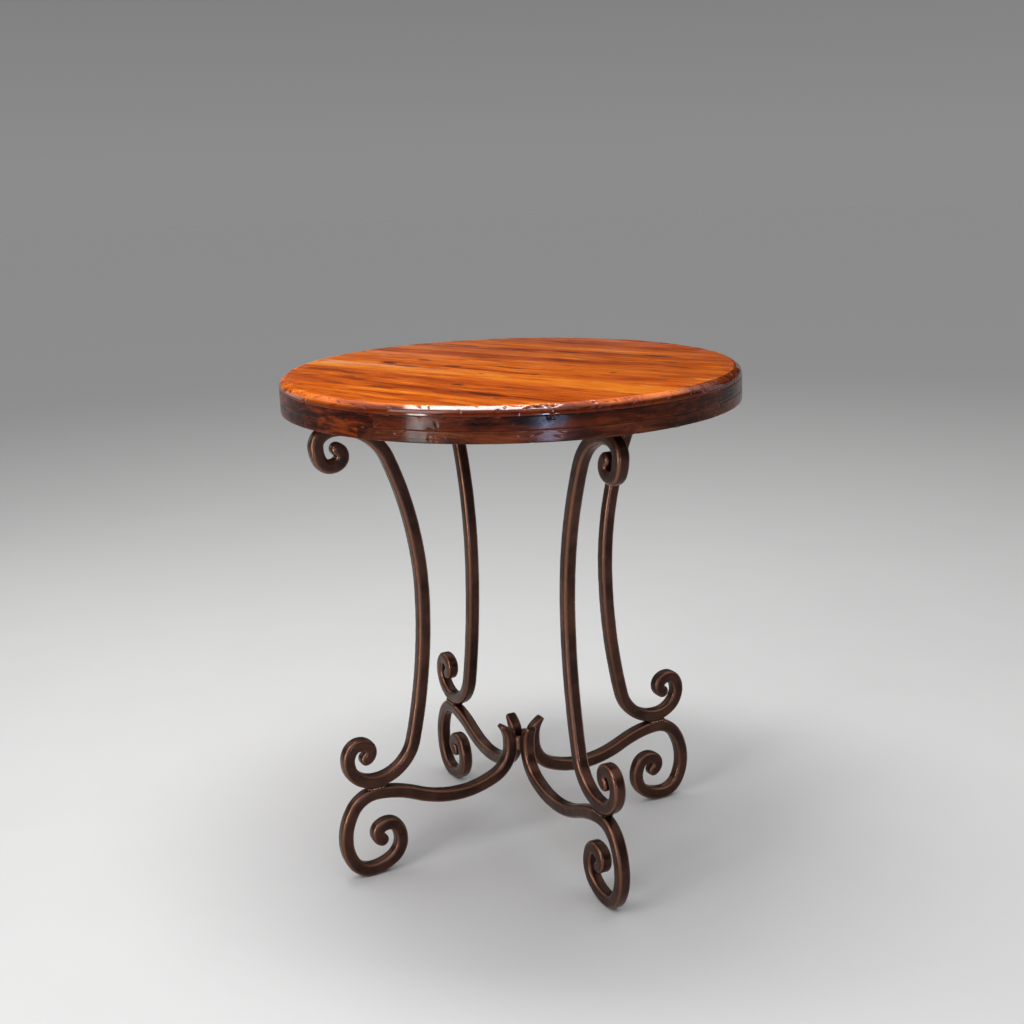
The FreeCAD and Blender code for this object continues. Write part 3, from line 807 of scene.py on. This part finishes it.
def place_piece(mesh, name, finish, slot, *nodes):
    """The piece rides on the table and hides the node that it replaces."""
    mesh.materials.clear()
    mesh.materials.append(finish)
    piece = new_object(name, mesh)
    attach(piece, "root")
    if nodes:
        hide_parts(*nodes)


def cut_off(shape, across, keep):
    """Cuts the shape at a joint between planks and closes the cut."""
    bmesh.ops.bisect_plane(shape, geom=shape.verts[:] + shape.edges[:] + shape.faces[:], dist=1e-7,
                           plane_co=(0, across, 0), plane_no=(0, keep, 0), clear_inner=True)
    rim = [edge for edge in shape.edges if edge.is_boundary]
    bmesh.ops.holes_fill(shape, edges=rim, sides=0)


def make_planks():
    """The round top, turned in one go and sawn into its planks."""
    lowest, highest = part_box("plank_4")
    disc = bmesh.new()
    chips = [(math.radians(turn) % (2 * math.pi), *rest) for turn, *rest in EDGE_CHIPS]
    marks = sorted(knocks(PLANK_SEED, *PLANK_KNOCKS) + chips)
    rows = plank_rows(lowest.z, highest.z)
    columns = turned_rows(disc, rows, 0.0, 2 * math.pi / EDGE_STEPS, EDGE_STEPS, marks, 0.0)
    skin(disc, columns, True, False)
    disc.faces.new([column[0] for column in columns])
    disc.faces.new([column[-1] for column in reversed(columns)])
    for number in range(1, PLANKS + 1):
        name = f"plank_{number}"
        low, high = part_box(name)
        shape = disc.copy()
        if number > 1:
            cut_off(shape, low.y, 1)
        if number < PLANKS:
            cut_off(shape, high.y, -1)
        grain = shape.verts.layers.float_vector.new("grain_place")
        tone = shape.verts.layers.float.new("board_tone")
        # This layer holds the round-over's stain together with its painted shade
        stain = shape.verts.layers.float.new("edge_stain_and_shade")
        rounded = shape.verts.layers.float.new("round_over")
        middle = Vector((0, 0.5 * (low.y + high.y), highest.z))
        lay = Matrix.Rotation(-GRAIN_SLANTS[number - 1], 3, "Z")
        dents_from, dents_to = (TOP_RADIUS - back for back in DENTED_BACK)
        for vert in shape.verts:
            vert[grain] = lay @ (vert.co - middle) + Vector((PLANK_SHIFT * number, 0, 0))
            vert[tone] = PLANK_TONES[number - 1]
            vert[stain] = edge_stain_and_shade(vert.co, highest.z - vert.co.z)
            vert[rounded] = between(math.hypot(vert.co.x, vert.co.y), dents_from, dents_to)
        finish_piece(shape, f"{name}_board", plank_finish, "plank_wood", name)
    disc.free()


def make_rim(layer, turn, finishes, tones, seed):
    """One layer of rim pieces under the planks."""
    steps = EDGE_STEPS // RING + 1
    sweep = (math.radians(QUARTER) - 2 * RIM_END_GAP) / (steps - 1)
    for number in range(1, RING + 1):
        name = f"{layer}_{number}"
        low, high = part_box(name)
        start = math.radians(turn + QUARTER * (number - 1)) + RIM_END_GAP
        shape = bmesh.new()
        marks = knocks(seed + number, *RIM_KNOCKS)
        columns = turned_rows(shape, rim_rows(low.z, high.z), start, sweep, steps, marks, seed)
        skin(shape, columns, False, True)
        shape.faces.new(columns[0])
        shape.faces.new(reversed(columns[-1]))
        grain = shape.verts.layers.float_vector.new("grain_place")
        tone = shape.verts.layers.float.new("board_tone")
        for vert in shape.verts:
            along = (math.atan2(vert.co.y, vert.co.x) - start + 1) % (2 * math.pi) * TOP_RADIUS
            across = math.hypot(vert.co.x, vert.co.y)
            vert[grain] = (along + RIM_SHIFT * number + seed, across, vert.co.z - low.z)
            vert[tone] = tones[number - 1]
        finish_piece(shape, f"{name}_piece", finishes[number - 1], "rim_wood", name)


# Iron pieces

def turned_about(degrees):
    """A turn about the table's upright axis."""
    return Matrix.Rotation(math.radians(degrees), 4, "Z")


def forged(node):
    """The bar of a node, laid along X, with its corners hammered round."""
    bar = new_object("bar_blank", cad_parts[node].data.copy())
    bar.data.transform(turned_about(-LEG_TURN))
    blank = bmesh.new()
    blank.from_mesh(bar.data)
    bmesh.ops.remove_doubles(blank, verts=blank.verts, dist=SAME_POINT)
    blank.to_mesh(bar.data)
    blank.free()
    remesh = bar.modifiers.new("forge", "REMESH")
    remesh.mode = "VOXEL"
    remesh.voxel_size = BAR_GRAIN
    ease = bar.modifiers.new("ease", "SMOOTH")
    ease.factor = EASE_SHARE
    ease.iterations = EASE_ROUNDS
    bpy.context.view_layer.update()
    made = bpy.data.meshes.new_from_object(bar.evaluated_get(bpy.context.evaluated_depsgraph_get()))
    bpy.data.objects.remove(bar)
    return made


def make_bars(kind, finish):
    """Four bars of one kind round the table, each with its own hammer marks."""
    blank = forged(f"{kind}_1")
    for number in range(1, RING + 1):
        name = f"{kind}_{number}"
        low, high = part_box(name)
        mesh = blank.copy()
        corner = mesh.attributes.new("corner", "FLOAT", "POINT")
        normals = [vert.normal.copy() for vert in mesh.vertices]
        for vert, normal, value in zip(mesh.vertices, normals, corner.data):
            # How much the point lies on a rounded corner; the finish paints a copper highlight there
            facing = normal.y ** 2
            value.value = (4 * facing * (1 - facing)) ** CORNER_CRISPNESS
            spot = vert.co * HAMMER_GRAIN + Vector((BAR_SHIFT * number, 0, 0))
            vert.co = vert.co + normal * (BAR_HAMMER * noise.noise(spot) - BAR_SINK)
        mesh.transform(turned_about(LEG_TURN + QUARTER * (number - 1)))
        for vert in mesh.vertices:
            vert.co = Vector(max(a, min(b, c)) for a, b, c in zip(low, high, vert.co))
        for face in mesh.polygons:
            face.use_smooth = True
        place_piece(mesh, f"{name}_bar", finish, "bronzed_iron", name)
    bpy.data.meshes.remove(blank)


def islands(mesh):
    """The separate solids of a mesh, as lists of points, in a fixed order."""
    shape = bmesh.new()
    shape.from_mesh(mesh)
    bmesh.ops.remove_doubles(shape, verts=shape.verts, dist=SAME_POINT)
    left = set(shape.verts)
    found = []
    while left:
        queue = [left.pop()]
        group = []
        while queue:
            vert = queue.pop()
            group.append(vert.co.copy())
            for edge in vert.link_edges:
                other = edge.other_vert(vert)
                if other in left:
                    left.remove(other)
                    queue.append(other)
        found.append(sorted(group, key=tuple))
    shape.free()
    return sorted(found, key=lambda points: tuple(points[0]))


def bead_line(points):
    """Middle, direction, half length and radius of a bead, which runs upright or level across its bar."""
    middle = sum(points, Vector()) / len(points)
    ways = (Vector((0, 0, 1)), Vector((-middle.y, middle.x, 0)).normalized())
    along = max(ways, key=lambda way: max(p.dot(way) for p in points) - min(p.dot(way) for p in points))
    half = max(abs((p - middle).dot(along)) for p in points)
    radius = max((p - middle - along * (p - middle).dot(along)).length for p in points)
    return middle, along, half, radius


def rippled_bead(shape, middle, along, half, radius, pick):
    """A run of weld: overlapping ripples, fuller in the middle and closed at both ends."""
    side = along.orthogonal().normalized()
    other = along.cross(side)
    count = max(BEAD_LEAST_STEPS, round(half * 2 / BEAD_STEP))
    pitch = pick.uniform(*BEAD_PITCH)
    rings = []
    for step in range(1, count):
        share = 2 * step / count - 1
        place = share * half
        swell = math.sqrt(max(0.0, 1 - share ** BEAD_END_SQUARENESS))
        ripple = 1 - BEAD_RIPPLE + BEAD_RIPPLE * abs(math.sin(math.pi * (place + half) / pitch))
        ring = []
        for turn in range(BEAD_SIDES):
            angle = 2 * math.pi * turn / BEAD_SIDES
            way = side * math.cos(angle) + other * math.sin(angle)
            spot = middle + along * place + way * radius
            full = radius * swell * ripple * (0.95 + 0.1 * noise.noise(spot * BEAD_GRAIN))
            ring.append(shape.verts.new(middle + along * place + way * min(full, radius)))
        rings.append(ring)
    skin(shape, rings, False, True)
    shape.faces.new(rings[0])
    shape.faces.new(reversed(rings[-1]))


def make_welds(node, finish):
    """Rippled beads where the bars are welded together."""
    pick = Random(node)
    shape = bmesh.new()
    for points in islands(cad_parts[node].data):
        rippled_bead(shape, *bead_line(points), pick)
    finish_piece(shape, f"{node}_beads", finish, "weld_iron", node)


def make_seams():
    """Seams between legs and foot bars: filled nearly flush from notch to notch, with bright spots."""
    pick = Random(SEAM_SEED)
    fill, spots = bmesh.new(), bmesh.new()
    lines = [bead_line(points) for points in islands(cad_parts["leg_welds"].data)]
    for number, (middle, along, *_) in enumerate(lines):
        for other, *_ in lines[number + 1:]:
            length = (other - middle).length
            if length > SEAM_LONGEST:
                continue
            way = (other - middle).normalized()
            for side in (-1, 1):
                lift = along * side
                seat = middle.lerp(other, 0.5) + lift * (BAR_HALF - SEAM_SINK)
                rippled_bead(fill, seat, way, 0.5 * length, SEAM_RADIUS, pick)
                share = SPOT_FROM
                while share < SPOT_TO:
                    spot = middle.lerp(other, share) + lift * (BAR_HALF - SPOT_SINK)
                    half, radius = pick.uniform(*SPOT_HALF_LENGTH), pick.uniform(*SPOT_RADIUS)
                    rippled_bead(spots, spot, way, half, radius, pick)
                    share += pick.uniform(*SPOT_GAP)
    finish_piece(fill, "seam_fill", bar_finish, "weld_iron")
    finish_piece(spots, "seam_spots", spot_finish, "weld_iron")


def dress(nodes, finish):
    """Gives CAD pieces whose shape is right their finish."""
    for name in nodes:
        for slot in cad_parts[name].material_slots:
            slot.material = finish


make_planks()
make_rim("upper_rim", UPPER_RIM_TURN, (dark_rim, brown_rim, flame_rim, dark_rim),
         (-0.04, -0.06, -0.06, 0.05), UPPER_RIM_SEED)
make_rim("lower_rim", LOWER_RIM_TURN, (dark_rim, brown_rim, flame_rim, brown_rim),
         (0.05, -0.02, -0.04, 0.02), LOWER_RIM_SEED)
make_bars("leg", bar_finish)
make_bars("foot_bar", bar_finish)
make_welds("leg_welds", bar_finish)
make_welds("hub_welds", bead_finish)
make_welds("plate_welds", bar_finish)
make_seams()
dress([f"leg_plate_{number}" for number in range(1, RING + 1)], plate_finish)
dress(["plate_screws", "rim_screws"], screw_finish)


# Floor, light and camera

# Shades of the dome by height: grey at the horizon, dark where the top mirrors it, bright above
DOME_SHADES = ((0.0, 0.262), (0.101, 0.22), (0.108, 0.02), (0.44, 0.03), (0.62, 0.80), (1.0, 1.0))

# Softboxes as the viewer sees them: place, aim, width, length, watts, and any spread in degrees and colour
SOFTBOXES = {
    "overhead": ((-0.27, 0.0, 2.7), (-0.27, 0.0, 0.0), 1.28, 0.48, 31.0),
    "key": ((-2.2, -2.2, 2.6), (0.0, 0.0, 0.6), 1.6, 1.6, 30.0),
    "left_side": ((-2.5, 1.7, 1.6), (0.0, 0.0, 0.6), 1.2, 1.4, 4.0),
    "right_side": ((2.7, 0.9, 1.7), (0.0, 0.0, 0.6), 1.0, 1.3, 2.5, 180.0, (0.80, 0.88, 1.0)),
    "strip": ((-2.0, -2.3, 0.70), (0.0, 0.0, 0.75), 0.35, 1.2, 3.4, 70.0),
    "cool_strip": ((0.92, -3.27, 0.50), (0.0, 0.0, 0.75), 0.30, 0.7, 3.4, 70.0, (0.45, 0.62, 1.0)),
}
OVERHEAD_TURN = -15

# The camera as the viewer stands: place in metres, angles in radians, lens and film in millimetres
CAMERA_PLACE = (-0.00507, -2.84289, 1.43420)
CAMERA_DIP = 0.2471
CAMERA_ROLL = -0.0306
CAMERA_LENS = 50.48
CAMERA_FILM = 36.0
CAMERA_NEAREST = 0.05


def make_floor():
    """A wide pale floor, painted greyer far away as shade where the light falls off."""
    shape = bmesh.new()
    bmesh.ops.create_circle(shape, cap_ends=True, segments=96, radius=30.0)
    mesh = bpy.data.meshes.new("floor")
    shape.to_mesh(mesh)
    shape.free()
    finish, tree, shader = new_finish("pale_floor")
    place = add(tree, "ShaderNodeTexCoord").outputs["Object"]
    shade = cloud(tree, scaled(tree, place, 3.0), 5.0, 0.6)
    pale = tint(tree, shade, (0.67, 0.665, 0.66, 1), (0.71, 0.705, 0.70, 1))
    away = add(tree, "ShaderNodeVectorMath", {0: place}, operation="LENGTH").outputs["Value"]
    # Painted shade: the floor greys with distance, as if the light fell off
    colour = tint(tree, fade(tree, away, 1.3, 7.0), pale, (0.40, 0.40, 0.40, 1))
    tree.links.new(colour, shader.inputs["Base Color"])
    shader.inputs["Roughness"].default_value = 0.85
    shader.inputs["Specular IOR Level"].default_value = 0.1
    mesh.materials.append(finish)
    floor = new_object("floor", mesh)


def make_dome():
    """Soft light from all round."""
    world = bpy.data.worlds.new("studio")
    bpy.context.scene.world = world
    world.use_nodes = True
    tree = world.node_tree
    sky = add(tree, "ShaderNodeTexCoord").outputs["Generated"]
    up = add(tree, "ShaderNodeSeparateXYZ", {"Vector": sky}).outputs["Z"]
    shade = ramp(tree, up, [(height, (grey, grey, grey)) for height, grey in DOME_SHADES])
    tree.links.new(shade, tree.nodes["Background"].inputs["Color"])
    tree.nodes["Background"].inputs["Strength"].default_value = 1.0


def from_view(place):
    """A place given as the viewer sees it: to the right, away and up."""
    return turned_about(VIEW_TURN) @ Vector(place)


def add_softbox(name, place, aim, width, length, power, spread=180.0, colour=(1.0, 1.0, 1.0)):
    """A flat lamp that faces its aim."""
    data = bpy.data.lights.new(name, "AREA")
    data.shape = "RECTANGLE"
    data.size = width
    data.size_y = length
    data.energy = power
    data.spread = math.radians(spread)
    data.color = colour
    lamp = new_object(name, data)
    lamp.location = from_view(place)
    lamp.rotation_euler = (from_view(aim) - from_view(place)).to_track_quat("-Z", "Y").to_euler()
    lamp.visible_camera = False
    return lamp


def make_camera():
    """The view: from in front, a little above the top."""
    data = bpy.data.cameras.new("camera")
    data.sensor_width = CAMERA_FILM
    data.lens = CAMERA_LENS
    data.clip_start = CAMERA_NEAREST
    camera = new_object("camera", data)
    stand = Matrix.Translation(CAMERA_PLACE)
    tilt = Matrix.Rotation(math.radians(90) - CAMERA_DIP, 4, "X")
    roll = Matrix.Rotation(CAMERA_ROLL, 4, "Z")
    camera.matrix_world = turned_about(VIEW_TURN) @ stand @ tilt @ roll
    bpy.context.scene.camera = camera


make_floor()
make_dome()
lamps = {name: add_softbox(name, *box) for name, box in SOFTBOXES.items()}
# The overhead lamp faces straight down, so its turn is given directly
lamps["overhead"].rotation_euler = (0, 0, math.radians(VIEW_TURN + OVERHEAD_TURN))
make_camera()

scene = bpy.context.scene
scene.view_settings.view_transform = "Standard"
